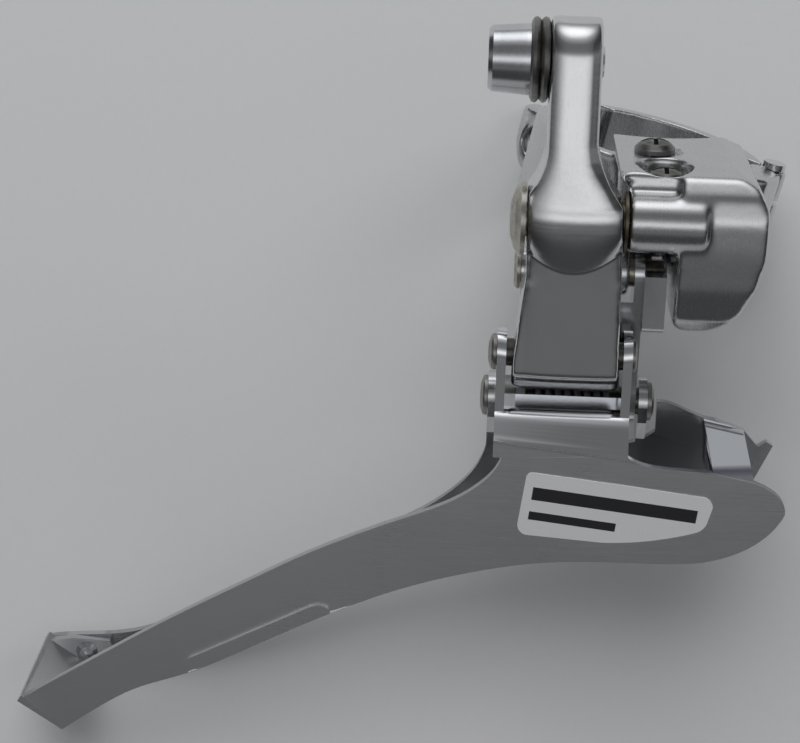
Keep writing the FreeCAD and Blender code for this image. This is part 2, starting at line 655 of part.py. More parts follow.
# ======================================================= cage
# Plate outlines as linkage (x, z), in the runs that curves() draws.
OUTER_PLATE = [
    # upper edge, towards the tail
    [(-9.7, -35.4), (-12.0, -38.2), (-16.3, -41.2), (-23.4, -44.3), (-30.6, -47.4),
     (-37.8, -50.9), (-44.9, -54.9), (-52.6, -59.3), (-60.3, -63.9), (-67.7, -68.6),
     (-74.1, -72.7), (-80.6, -77.1)],
    [(-73.9, -81.6)],
    # lower edge, towards the front
    [(-68.0, -77.3), (-63.0, -74.2), (-54.5, -70.9), (-47.3, -67.3), (-41.0, -63.9),
     (-33.0, -59.8), (-21.9, -55.0), (-11.5, -51.9), (-5.3, -50.6), (2.2, -49.8),
     (9.5, -49.6), (15.9, -49.5), (19.6, -49.2), (23.4, -48.2), (27.6, -46.0),
     (30.4, -43.2), (31.6, -41.0)],
    # front end and back along the top
    [(31.2, -39.2), (29.3, -37.4), (26.9, -36.3)],
    [(21.0, -35.1)],
    [(18.6, -35.0), (15.6, -34.9), (12.6, -34.6), (10.2, -34.0), (8.8, -33.2)],
    [(8.6, -32.7)], [(-9.0, -32.7)], [(-9.1, -33.7)],
]
INNER_PLATE = [
    # upper edge, towards the tail
    [(-12.6, -40.6), (-16.5, -45.2), (-24.0, -50.3), (-34.0, -55.6), (-44.0, -60.8),
     (-53.0, -65.8), (-60.0, -69.4), (-66.0, -71.4), (-72.5, -72.1), (-78.9, -72.9)],
    [(-72.2, -77.4)],
    # lower edge, towards the front
    [(-67.0, -77.4), (-61.0, -75.8), (-52.0, -72.6), (-44.0, -68.6), (-33.0, -62.9),
     (-21.9, -58.0), (-11.5, -54.8), (-5.3, -53.5), (2.2, -52.8), (9.5, -52.5),
     (15.9, -52.2), (20.6, -51.0), (24.6, -48.2), (27.2, -44.6), (28.4, -41.6)],
    # front end and back along the top
    [(31.0, -35.6)], [(30.0, -35.0)], [(28.8, -35.9)], [(26.6, -33.4)], [(22.2, -31.9)],
    [(18.4, -30.8), (16.0, -29.8), (13.5, -29.3)],
    [(13.5, -34.0)],
    [(11.0, -35.7), (7.5, -36.3)],
    [(-7.5, -36.3)],
    [(-9.8, -36.0), (-11.4, -37.4)],
]
# raised lip along the lower edge of the outer plate's tail
LIP = [
    [(-41.2, -63.5), (-47.5, -66.9), (-54.3, -70.3)],
    [(-55.0, -69.7), (-54.8, -68.8), (-53.9, -68.0)],
    [(-36.5, -58.9)],
    [(-35.2, -58.5), (-34.0, -58.7), (-33.4, -59.55)],
]
TAIL_WALL = [(-80.6, -77.1), (-73.9, -81.6), (-73.25, -80.62), (-79.95, -76.12)]
BRIDGE = [(21.0, -35.1), (26.9, -36.3), (26.7, -37.5), (20.9, -36.4)]
FRONT_TAB = [(20.7, -32.2), (26.4, -33.4), (26.0, -39.4), (24.2, -40.6), (22.0, -40.2),
             (21.0, -38.6)]
TAIL_TAB = [(-78.9, -72.9), (-72.2, -77.4), (-67.6, -74.8), (-68.6, -72.4), (-74.4, -72.2)]


def add_ears(plate, rear, front, points, arcs):
    """Two pivot ears whose outer faces are at rear and front."""
    thick = dim("ear_t")
    for low, high in ((rear, rear + thick), (front - thick, front)):
        plate.pad("YZ", low, high, outline, points, arcs)


def cut_rivet_holes(plate, low, high):
    for x, z in (BRIDGE_RIVET, TAIL_RIVET):
        plate.cut("XZ", low, high, circle, x, z, RIVET_HOLE_R)


def cage_outer_plate():
    face = dim("outer_face")
    back = face + dim("plate_t")
    plate = Piece("cage_outer_plate")
    plate.pad("XZ", face, back, curves, OUTER_PLATE)
    # shelf bent over from the plate's top, then the ears that stand on it
    top, bend = SIZES["shelf_top"], SIZES["bend_r"]
    bend_y, bend_z = OUTER_Y + bend, top - bend
    outside = bend * math.sqrt(0.5)
    inside = (bend - PLATE_T) * math.sqrt(0.5)
    shelf = [
        (OUTER_Y, bend_z - 1.2), (OUTER_Y, bend_z), (bend_y, top), (4.6, top),
        (4.6, top - PLATE_T), (bend_y, top - PLATE_T), (OUTER_Y + PLATE_T, bend_z),
        (OUTER_Y + PLATE_T, bend_z - 1.2)]
    plate.pad("YZ", dim("ear_rear"), dim("ear_front"), outline, shelf, {
        1: (bend_y - outside, bend_z + outside), 5: (bend_y - inside, bend_z + inside)})
    tip = around(LOW_OUTER, [(3.5, -0.4), (-3.6, -0.4), (-0.05, 3.8)])
    ear = [(-2.2, top - 0.6), (4.6, top - 0.6)] + tip[:2]
    add_ears(plate, dim("ear_rear"), dim("ear_front"), ear, {2: tip[2]})
    # the tail wall and the bridge lean forwards and back as they rise to the inner plate
    plate.pad("XZ", face, back, outline, TAIL_WALL)
    plate.pad("XZ", OUTER_Y + 0.4, OUTER_Y + PLATE_T, outline, BRIDGE)
    plate.strip(TAIL_WALL, OUTER_Y + 0.2, INNER_Y - 0.05, lean_x=1.7, lean_z=4.2)
    plate.strip(BRIDGE, OUTER_Y + 0.2, INNER_Y - 0.05, lean_x=-0.4, lean_z=3.0)
    # riveted tabs that lie against the inner plate
    for tab in (FRONT_TAB, TAIL_TAB):
        plate.pad("XZ", INNER_Y - 1.25, INNER_Y - 0.05, outline, tab)
    cut_rivet_holes(plate, INNER_Y - 3.0, 12.0)
    plate.cut("YZ", -20, 20, circle, LOW_OUTER.y, LOW_OUTER.z, SMALL_FIT_R)
    plate.pad("XZ", OUTER_Y - 0.55, OUTER_Y + 0.1, curves, LIP)
    plate.done()


def cage_inner_plate():
    face = dim("inner_face")
    plate = Piece("cage_inner_plate")
    plate.pad("XZ", face, face + dim("plate_t"), curves, INNER_PLATE)
    tip = around(LOW_INNER, [
        (3.7, -3.0), (3.7, 0.2), (-3.6, 0.2), (-3.4, -2.2), (0, 3.75)])
    ear = [(INNER_Y, -38.4), (INNER_Y + 1.2, -38.4)] + tip[:4] + [
        (INNER_Y, LOW_INNER.z - 5.2)]
    add_ears(plate, dim("outer_ear_rear"), dim("outer_ear_front"), ear, {3: tip[4]})
    cut_rivet_holes(plate, INNER_Y - 2.0, INNER_Y + 3.0)
    plate.cut("YZ", -12.6, 12.6, circle, LOW_INNER.y, LOW_INNER.z, SMALL_FIT_R)
    plate.done()


def cage_rivet(label, place_xz):
    x, z = place_xz
    turned(label, Vector(x, INNER_Y, z), [
        (-1.95, 0), (-1.75, 1.0), (-1.3, 1.7), (-1.3, 1.0), (1.25, 1.0), (1.25, 1.7),
        (1.7, 1.0), (1.9, 0)], X_TO_Y)


def side_label():
    """Plain label on the outer plate."""
    face = dim("outer_face")
    label = Piece("side_label")
    label.pad("XZ", face - 0.16, face - 0.02, outline, [
        (-4.4, -36.1), (8.0, -37.4), (19.6, -38.75), (21.3, -40.4), (20.75, -42.4),
        (18.9, -44.4), (5.9, -46.5), (-4.8, -45.8), (-6.45, -44.1), (-5.55, -37.1)],
        {2: (20.9, -39.3), 4: (20.1, -43.7), 5: (12.6, -45.9), 7: (-6.1, -45.2),
         9: (-5.25, -36.35)})
    label.done()


# ======================================================= build and export
base_bracket()
clamp_band()
clamp_hinge_pin()
clamp_bolt()
limit_screw("low_limit_screw", LOW_SCREW, seat=7.45, tip=-8.65)
limit_screw("high_limit_screw", HIGH_SCREW, seat=4.95, tip=-5.80)
upper_pivots()
outer_link()
cable_anchor()
inner_link()
lower_pivots()
return_spring()
cage_outer_plate()
cage_inner_plate()
cage_rivet("bridge_rivet", BRIDGE_RIVET)
cage_rivet("tail_rivet", TAIL_RIVET)
side_label()

doc.recompute()
for obj in doc.Objects:
    if "Invalid" in obj.State or "Error" in obj.State:
        raise RuntimeError("%s failed: %s" % (obj.Label, obj.State))
os.makedirs("parts", exist_ok=True)
for part in PARTS:
    if part.Shape.isNull() or not part.Shape.isValid() or not part.Shape.Solids:
        raise RuntimeError("%s has no valid solid" % part.Label)
    part.Shape.exportStep("parts/%s.step" % part.Label)
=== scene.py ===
# A bicycle front derailleur with a band clamp, lying on a pale table.
# Shapes are described in the linkage frame, in millimetres: its origin is the outer link's
# pivot, x runs right, z up and y away from the viewer, so the outer side faces -y.
# The scene itself is in metres.
import bpy
import bmesh
import json
import math
import numpy as np
from mathutils import Vector, Matrix
from mathutils.bvhtree import BVHTree


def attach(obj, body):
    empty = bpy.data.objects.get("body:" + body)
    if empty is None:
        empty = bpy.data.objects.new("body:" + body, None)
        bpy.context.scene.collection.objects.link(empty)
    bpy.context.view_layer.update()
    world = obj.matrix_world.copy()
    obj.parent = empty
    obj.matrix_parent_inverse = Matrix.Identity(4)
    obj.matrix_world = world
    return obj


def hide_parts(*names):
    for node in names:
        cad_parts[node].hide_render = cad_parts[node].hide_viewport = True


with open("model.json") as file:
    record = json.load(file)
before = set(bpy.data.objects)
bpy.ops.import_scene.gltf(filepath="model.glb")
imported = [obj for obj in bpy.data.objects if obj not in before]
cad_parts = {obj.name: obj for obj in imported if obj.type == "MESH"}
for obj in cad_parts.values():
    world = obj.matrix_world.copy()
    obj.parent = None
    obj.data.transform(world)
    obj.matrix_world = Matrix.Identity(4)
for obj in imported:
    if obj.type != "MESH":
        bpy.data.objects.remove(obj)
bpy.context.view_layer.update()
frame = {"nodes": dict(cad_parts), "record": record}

# ------------------------------------------------------------ linkage frame
MM = 0.001
BEHAVIOUR = frame["record"]["behaviour"]
PIVOT = next(j for j in BEHAVIOUR["joints"] if j["name"] == "outer_link_pivot")
ORIGIN = Vector(PIVOT["pos_m"])
EX = -Vector(PIVOT["axis"]).normalized()
EY = Vector((0, 1, 0))
EZ = EX.cross(EY).normalized()


def axes_matrix(x_axis, y_axis, z_axis, origin=(0, 0, 0), scale=1):
    """A 4x4 matrix with the scaled axes and the origin as its columns."""
    rows = [(x_axis[i] * scale, y_axis[i] * scale, z_axis[i] * scale, origin[i])
            for i in range(3)]
    return Matrix((*rows, (0, 0, 0, 1)))


LINKAGE = axes_matrix(EX, EY, EZ, ORIGIN, MM)
LINKAGE_TURN = axes_matrix(EX, EY, EZ)
TO_SCENE = np.array(LINKAGE)
TO_LINKAGE = np.array(LINKAGE.inverted())


def linkage_point(x, y, z):
    """A linkage point in scene metres."""
    return ORIGIN + (EX * x + EY * y + EZ * z) * MM


def linkage_direction(x, y, z):
    """A linkage direction as a unit vector of the scene."""
    return (EX * x + EY * y + EZ * z).normalized()


def cad(name):
    node = frame["nodes"][name]
    return bpy.data.objects[node] if isinstance(node, str) else node


def add_object(name, data):
    o = bpy.data.objects.new(name, data)
    bpy.context.scene.collection.objects.link(o)
    return o


# ------------------------------------------------------------ shader nodes
class Nodes:
    """Builds the node tree of a material or world. Values may be numbers or sockets."""

    def __init__(self, owner):
        owner.use_nodes = True
        self.tree = owner.node_tree
        self.tree.nodes.clear()

    def new(self, kind, **settings):
        node = self.tree.nodes.new(kind)
        for key, value in settings.items():
            setattr(node, key, value)
        return node

    def feed(self, socket, value):
        if isinstance(value, bpy.types.NodeSocket):
            self.tree.links.new(value, socket)
        else:
            socket.default_value = (*value, 1) if socket.type == "RGBA" else value

    def math(self, operation, *values):
        node = self.new("ShaderNodeMath", operation=operation)
        for socket, value in zip(node.inputs, values):
            self.feed(socket, value)
        return node.outputs[0]

    def add(self, a, b):
        return self.math("ADD", a, b)

    def multiply(self, a, b):
        return self.math("MULTIPLY", a, b)

    def above(self, value, limit):
        return self.math("GREATER_THAN", value, limit)

    def dot(self, vector, direction):
        node = self.new("ShaderNodeVectorMath", operation="DOT_PRODUCT")
        node.inputs[1].default_value = direction
        self.feed(node.inputs[0], vector)
        return node.outputs["Value"]

    def split(self, vector):
        node = self.new("ShaderNodeSeparateXYZ")
        self.feed(node.inputs[0], vector)
        return node.outputs

    def remap(self, value, source=(0.0, 1.0), to=(0.0, 1.0), smooth=False):
        node = self.new("ShaderNodeMapRange")
        if smooth:
            node.interpolation_type = "SMOOTHSTEP"
        for key, ends in (("From", source), ("To", to)):
            node.inputs[key + " Min"].default_value = ends[0]
            node.inputs[key + " Max"].default_value = ends[1]
        self.feed(node.inputs["Value"], value)
        return node.outputs[0]

    def ramp(self, value, stops):
        """A colour ramp; stops are (position, colour) in rising order."""
        node = self.new("ShaderNodeValToRGB")
        elements = node.color_ramp.elements
        for position, _ in stops[1:-1]:
            elements.new(position)
        for element, (position, color) in zip(elements, stops):
            element.position = position
            element.color = (*color, 1)
        self.feed(node.inputs[0], value)
        return node.outputs[0]

    def mix_shader(self, factor, first, second):
        node = self.new("ShaderNodeMixShader")
        for socket, value in zip(node.inputs, (factor, first, second)):
            self.feed(socket, value)
        return node.outputs[0]


class Surface(Nodes):
    """A material around one Principled shader."""

    def __init__(self, name):
        self.material = bpy.data.materials.new(name)
        super().__init__(self.material)
        self.output = self.new("ShaderNodeOutputMaterial").inputs[0]
        self.shader = self.new("ShaderNodeBsdfPrincipled")
        self.feed(self.output, self.shader.outputs[0])

    def geometry(self, output):
        return self.new("ShaderNodeNewGeometry").outputs[output]

    def coords(self, scale=(1, 1, 1), rotation=(0, 0, 0)):
        """Object coordinates turned to linkage millimetres, then rotated and scaled."""
        parts = self.split(self.new("ShaderNodeTexCoord").outputs["Object"])
        joined = self.new("ShaderNodeCombineXYZ")
        to_linkage = LINKAGE.inverted()
        for i in range(3):
            total = to_linkage[i][3]
            for j in range(3):
                total = self.math("MULTIPLY_ADD", parts[j], to_linkage[i][j], total)
            self.feed(joined.inputs[i], total)
        mapping = self.new("ShaderNodeMapping")
        mapping.inputs["Scale"].default_value = scale
        mapping.inputs["Rotation"].default_value = rotation
        self.feed(mapping.inputs[0], joined.outputs[0])
        return mapping.outputs[0]

    def noise(self, vector, scale, detail=4.0, roughness=0.55):
        node = self.new("ShaderNodeTexNoise")
        node.inputs["Scale"].default_value = scale
        node.inputs["Detail"].default_value = detail
        node.inputs["Roughness"].default_value = roughness
        self.feed(node.inputs["Vector"], vector)
        return node.outputs["Fac"]

    def mix(self, factor, a, b):
        node = self.new("ShaderNodeMix", data_type="RGBA")
        # inputs 6 and 7 and output 2 are the colour sockets
        for index, value in ((0, factor), (6, a), (7, b)):
            self.feed(node.inputs[index], value)
        return node.outputs[2]

    def tint(self, color, mask, amount, over):
        """Lay the colour `over` on `color` where the mask is up."""
        return self.mix(self.multiply(mask, amount), color, over)

    def edges(self, low, high):
        """A mask that rises from 0 to 1 over convex edges."""
        return self.remap(self.geometry("Pointiness"), source=(low, high))

    def hollows(self, low, high):
        """A mask that falls from 1 in the hollows to 0."""
        return self.remap(self.geometry("Pointiness"), source=(low, high), to=(1.0, 0.0))

    def bump(self, height, strength, distance, normal=None):
        node = self.new("ShaderNodeBump")
        node.inputs["Strength"].default_value = strength
        node.inputs["Distance"].default_value = distance
        self.feed(node.inputs["Height"], height)
        if normal is not None:
            self.feed(node.inputs["Normal"], normal)
        return node.outputs[0]

    def finish(self, color, roughness, normal=None, metallic=1.0):
        inputs = self.shader.inputs
        self.feed(inputs["Base Color"], color)
        self.feed(inputs["Metallic"], metallic)
        self.feed(inputs["Roughness"], roughness)
        if normal is not None:
            self.feed(inputs["Normal"], normal)
        return self.material


# ------------------------------------------------------------ materials
def about_y(degrees):
    return (0, math.radians(degrees), 0)


def polished_alloy(name="polished_alloy", roughness=(0.13, 0.24), grain=0.05, tone=1.0):
    """Bright forging with faint clouding, hairlines and painted shade in the hollows."""
    surf = Surface(name)
    place = surf.coords()
    cloud = surf.noise(place, scale=0.16, detail=5)
    fine = surf.noise(place, scale=3.2, detail=6, roughness=0.65)
    pits = surf.noise(place, scale=1.1, detail=3, roughness=0.5)
    stretched = surf.coords(scale=(7.0, 0.6, 0.25), rotation=(0.1, 0.2, 0.4))
    hair = surf.noise(stretched, scale=1.6, detail=3)
    color = surf.mix(cloud, (0.70 * tone, 0.705 * tone, 0.715 * tone), (0.80 * tone,) * 3)
    # painted shade: the hollows are tinted dark grey
    color = surf.tint(color, surf.hollows(0.46, 0.495), amount=0.55, over=(0.16, 0.155, 0.15))
    color = surf.tint(color, surf.edges(0.51, 0.58), amount=0.6, over=(0.92, 0.92, 0.92))
    hairlines = surf.remap(surf.above(hair, 0.62), to=(0.0, 0.05))
    rough = surf.add(surf.remap(fine, to=roughness), hairlines)
    waves = surf.bump(surf.add(cloud, surf.multiply(pits, 0.10)),
                      strength=0.22, distance=0.0002)
    normal = surf.bump(surf.add(fine, surf.multiply(hair, 0.5)),
                       strength=grain, distance=0.00006, normal=waves)
    return surf.finish(color, rough, normal)


def cast_alloy():
    return polished_alloy("cast_alloy", roughness=(0.18, 0.28), grain=0.03, tone=0.90)


def chromed_plate():
    """Plated sheet: brushed lengthwise on its flat outer face, bright at the top bend."""
    surf = Surface("chromed_plate")
    lengthwise = surf.coords(scale=(0.10, 1.0, 3.2), rotation=about_y(24))
    brush = surf.noise(lengthwise, scale=3.0, detail=8, roughness=0.7)
    coarse = surf.noise(lengthwise, scale=0.85, detail=7, roughness=0.75)
    band = surf.noise(surf.coords(scale=(0.05, 1.0, 1.1), rotation=about_y(22)),
                      scale=1.2, detail=3, roughness=0.5)
    cloud = surf.noise(surf.coords(), scale=0.10)
    fine = surf.noise(surf.coords(), scale=3.0, detail=5)
    x, y, z = surf.split(surf.coords())

    # the bright zone lies above a line that falls slightly towards +x, with a painted dark
    # reflection in a band just below it
    line = surf.add(surf.multiply(x, 0.105), z)
    bright = surf.remap(line, source=(-32.75, -32.45))
    dull = surf.math("SUBTRACT", 1.0, bright)
    painted_dark_reflection = surf.multiply(surf.remap(line, source=(-33.15, -32.80)),
                           surf.remap(line, source=(-32.80, -32.45), to=(1.0, 0.0)))

    # brushed zone: streaks, broad bands, scuffs, and painted light that pales it towards the -x
    # tail
    lay = surf.remap(surf.add(surf.multiply(brush, 0.5), surf.multiply(coarse, 0.5)),
                     source=(0.40, 0.62))
    brushed = surf.mix(lay, (0.53, 0.545, 0.57), (0.84, 0.85, 0.87))
    brushed = surf.tint(brushed, band, amount=0.35, over=(0.64, 0.655, 0.69))
    scuff = surf.noise(surf.coords(scale=(1.0, 1.0, 5.0), rotation=about_y(50)),
                       scale=1.3, detail=6, roughness=0.8)
    brushed = surf.tint(brushed, surf.above(scuff, 0.76), amount=0.25, over=(0.86, 0.86, 0.87))
    # painted light: the tail is paled as if it were angled towards the light
    painted_light_tail = surf.remap(x, source=(-8.0, -38.0), to=(0.0, 0.80))
    brushed = surf.mix(painted_light_tail, brushed, (0.97, 0.97, 0.98))

    # painted shade: darker where the sheet turns away from y, and behind the outer face at the
    # +x end
    facing = surf.math("ABSOLUTE", surf.dot(surf.geometry("True Normal"), EY))
    # painted shade on the faces turned away from y
    painted_shade_wall = surf.remap(facing, source=(0.45, 0.88), to=(0.62, 0.0))
    brushed = surf.mix(painted_shade_wall, brushed, (0.22, 0.23, 0.25))
    # painted shade behind the outer face at the +x end
    painted_shade_bridge = surf.multiply(surf.remap(x, source=(12.0, 12.5)),
                           surf.remap(y, source=(-4.9, -4.5), to=(0.0, 0.72)))
    brushed = surf.mix(painted_shade_bridge, brushed, (0.24, 0.25, 0.27))

    color = surf.mix(bright, brushed, (0.66, 0.67, 0.70))
    # painted reflection: a dark bluish band just below the bright zone
    color = surf.tint(color, painted_dark_reflection, amount=0.75, over=(0.10, 0.10, 0.15))
    # where shade is painted, the worn edges are not brightened
    shaded = surf.math("MINIMUM", surf.add(painted_shade_wall, painted_shade_bridge), 1.0)
    worn = surf.multiply(surf.edges(0.51, 0.60), 0.6)
    color = surf.tint(color, worn, amount=surf.math("SUBTRACT", 1.0, shaded),
                      over=(0.92, 0.92, 0.93))

    roughness = surf.new("ShaderNodeMix", data_type="FLOAT")
    surf.feed(roughness.inputs[0], bright)
    surf.feed(roughness.inputs[2], surf.add(surf.remap(brush, to=(0.22, 0.36)),
                                            surf.remap(cloud, to=(-0.03, 0.05))))
    surf.feed(roughness.inputs[3], surf.remap(fine, to=(0.08, 0.15)))
    streaks = surf.add(surf.multiply(brush, 0.6), surf.multiply(coarse, 0.5))
    normal = surf.bump(surf.multiply(streaks, dull), strength=0.34, distance=0.00010)
    return surf.finish(color, roughness.outputs[0], normal)


def chromed_inner_painted_reflection():
    """The inner plate: plating with long faint rub marks, painted dark as the reflection of the
    outer plate's dark back.
    """
    surf = Surface("chromed_inner_painted_reflection")
    rub = surf.noise(surf.coords(scale=(0.12, 1.0, 2.2), rotation=about_y(28)),
                     scale=1.8, detail=6, roughness=0.65)
    fine = surf.noise(surf.coords(), scale=2.6, detail=5)
    # painted reflection: the dark base colours stand in for the outer plate's dark back
    color = surf.mix(rub, (0.20, 0.21, 0.23), (0.36, 0.37, 0.39))
    color = surf.tint(color, surf.edges(0.51, 0.60), amount=0.6, over=(0.88, 0.88, 0.89))
    normal = surf.bump(surf.add(rub, surf.multiply(fine, 0.3)), strength=0.12, distance=0.00006)
    return surf.finish(color, surf.remap(rub, to=(0.10, 0.26)), normal)


def bright_steel():
    """Clean steel with faint turning marks."""
    surf = Surface("bright_steel")
    fine = surf.noise(surf.coords(), scale=2.4, detail=6, roughness=0.6)
    turning = surf.noise(surf.coords(scale=(9.0, 0.5, 0.5)), scale=1.5)
    color = surf.mix(fine, (0.56, 0.57, 0.59), (0.74, 0.75, 0.77))
    color = surf.tint(color, surf.edges(0.50, 0.60), amount=0.5, over=(0.90, 0.90, 0.92))
    normal = surf.bump(turning, strength=0.10, distance=0.00004)
    return surf.finish(color, surf.remap(fine, to=(0.12, 0.26)), normal)


def dull_nickel(name="dull_nickel", tone=1.0, warmth=1.0):
    """Older plating with painted shade in the hollows and rubbed rims."""
    surf = Surface(name)
    place = surf.coords()
    blotches = surf.noise(place, scale=0.9, detail=6, roughness=0.6)
    fine = surf.noise(place, scale=6.0, detail=5, roughness=0.7)

    def toned(red, green, blue):
        grey = (red + green + blue) / 3
        return tuple(tone * (grey + (part - grey) * warmth) for part in (red, green, blue))

    color = surf.ramp(blotches, [(0.25, toned(0.22, 0.20, 0.165)),
                                 (0.5, toned(0.42, 0.395, 0.335)),
                                 (0.75, toned(0.58, 0.56, 0.50))])
    # painted shade: the hollows are tinted near black
    color = surf.tint(color, surf.hollows(0.44, 0.50), amount=0.7, over=(0.08, 0.075, 0.065))
    color = surf.tint(color, surf.edges(0.51, 0.60), amount=0.6, over=toned(0.78, 0.76, 0.72))
    normal = surf.bump(fine, strength=0.25, distance=0.00008)
    return surf.finish(color, surf.remap(fine, to=(0.24, 0.44)), normal)


def dark_nickel():
    return dull_nickel("dark_nickel", tone=0.50, warmth=0.35)


def grey_nickel():
    return dull_nickel("grey_nickel", tone=0.72, warmth=0.6)


def plain_metal(name, stretch, scale, colors, roughness, strength):
    """Dark metal coloured and grained by one stretched noise."""
    surf = Surface(name)
    fine = surf.noise(surf.coords(scale=stretch), scale=scale, detail=5)
    normal = surf.bump(fine, strength=strength, distance=0.00005)
    return surf.finish(surf.mix(fine, *colors), surf.remap(fine, to=roughness), normal)


def spring_steel():
    return plain_metal("spring_steel", stretch=(0.5, 3, 3), scale=4.0,
                       colors=((0.10, 0.10, 0.105), (0.24, 0.24, 0.25)),
                       roughness=(0.28, 0.42), strength=0.2)


def bushing():
    return plain_metal("bushing", stretch=(6, 1, 1), scale=3.0,
                       colors=((0.085, 0.075, 0.06), (0.22, 0.19, 0.14)),
                       roughness=(0.3, 0.45), strength=0.15)


def printed_label():
    """Pale satin film with two plain dark stripes."""
    surf = Surface("printed_label")
    x, _, z = surf.split(surf.coords(rotation=about_y(-6.3)))

    def within(value, low, high):
        return surf.multiply(surf.above(value, low), surf.math("LESS_THAN", value, high))

    def stripe(left, right, bottom, top):
        return surf.multiply(within(x, left, right), within(z, bottom, top))

    grain = surf.noise(surf.coords(), scale=5.0, detail=5)
    film = surf.mix(grain, (0.56, 0.57, 0.59), (0.64, 0.65, 0.66))
    stripes = surf.add(stripe(left=-0.2, right=23.6, bottom=-40.5, top=-38.5),
                       stripe(left=-0.2, right=12.4, bottom=-43.6, top=-42.3))
    color = surf.mix(stripes, film, (0.018, 0.018, 0.02))
    normal = surf.bump(grain, strength=0.05, distance=0.00003)
    return surf.finish(color, surf.remap(grain, to=(0.28, 0.40)), normal, metallic=0.0)


MATERIALS = {make.__name__: make() for make in (
    polished_alloy, cast_alloy, chromed_plate, chromed_inner_painted_reflection, dark_nickel, grey_nickel,
    bright_steel, dull_nickel, spring_steel, bushing, printed_label)}
SLOT = {part["node"]: part["material_slot"] for part in frame["record"]["subparts"]}
BODY = {name: body for body, names in BEHAVIOUR["bodies"].items() for name in names}
# parts whose finish differs from the one their slot names
FINISH = dict(
    SLOT, lower_pivot_spacer="dark_nickel", base_bracket="cast_alloy",
    # the inner plate's finish carries a painted dark reflection
    clamp_band="cast_alloy", cage_inner_plate="chromed_inner_painted_reflection",
    cable_clamp_washer="dark_nickel", low_limit_screw="dark_nickel",
    high_limit_screw="dark_nickel", lower_outer_pin="grey_nickel",
    lower_inner_pin="grey_nickel")


# ------------------------------------------------------------ mesh helpers
def read_points(mesh):
    points = np.empty(len(mesh.vertices) * 3)
    mesh.vertices.foreach_get("co", points)
    return points.reshape(-1, 3)


def write_points(mesh, points):
    mesh.vertices.foreach_set("co", points.ravel())


def transformed(points, matrix):
    return points @ matrix[:3, :3].T + matrix[:3, 3]


def smoothstep(t):
    t = np.clip(t, 0.0, 1.0)
    return t * t * (3 - 2 * t)


def shade_smooth(mesh):
    for polygon in mesh.polygons:
        polygon.use_smooth = True


def replace_cad(o, name):
    """Stand a finished object in for its CAD part."""
    o.data.materials.clear()
    o.data.materials.append(MATERIALS[FINISH[name]])
    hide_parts(name)
    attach(o, BODY[name])


# Bevels: width in metres, segments, least angle in degrees
SMALL_BEVEL = (0.00012, 2, 35)
PLATE_BEVEL = (0.00026, 3, 30)
UNBEVELLED = ("side_label", "return_spring")


def add_bevel(o, width, segments, angle):
    bevel = o.modifiers.new("fine_edge", "BEVEL")
    bevel.width = width
    bevel.segments = segments
    bevel.limit_method = "ANGLE"
    bevel.angle_limit = math.radians(angle)
    bevel.miter_outer = "MITER_ARC"


def dress(name):
    """A part that keeps its CAD mesh, with a finish and usually a fine bevel."""
    o = cad(name)
    for slot in o.material_slots:
        slot.material = MATERIALS[FINISH[name]]
    if not o.material_slots:
        o.data.materials.append(MATERIALS[FINISH[name]])
    if name not in UNBEVELLED:
        add_bevel(o, *(PLATE_BEVEL if name == "cage_inner_plate" else SMALL_BEVEL))


# ------------------------------------------------------------ outer link
# Tables are linkage z stations over values at them, in mm.
CAD_FACE_Y = ((-22.4, -10.0, -0.8, 0.5), (-3.0, -4.3, -5.2, -5.3))
ARM_Z = (2.8, 5.5, 7.6, 9.0, 11.0, 31.0)
ARM_LEFT_X = (-6.1, -5.6, -5.2, -5.0, -4.9, -4.9)
ARM_RIGHT_X = (6.1, 4.6, 3.2, 2.5, 2.2, 2.2)
LEDGE_EDGE_X = (6.12, *ARM_RIGHT_X[1:])
CROWN_DEPTH = ((-23.0, -9.0, -4.0, 3.0, 9.0, 24.0, 30.0),
               (0.30, 0.30, 0.75, 0.95, 1.05, 1.05, 0.9))
SHOULDER_TOP = 0.5       # z where the shoulder starts
SHOULDER_Y = -5.3        # y of the outer face there
SHOULDER_FALL = 1.32     # how far it rolls back by the crescent
PANEL_Y = -3.95          # y of the panel just below the crescent
PANEL_SLOPE = 0.018
LEDGE_WIDTH, LEDGE_DEPTH = 1.25, 0.12


def skin_y(y, z):
    """The link's outer and inner y at each vertex, from slices taken along z."""
    stations, outer, inner = [], [], []
    for station in np.arange(-24.0, 32.5, 0.5):
        in_slice = np.abs(z - station) < 0.6
        if in_slice.sum() > 20:
            stations.append(station)
            outer.append(np.percentile(y[in_slice], 2))
            inner.append(np.percentile(y[in_slice], 98))
    return np.interp(z, stations, outer), np.interp(z, stations, inner)


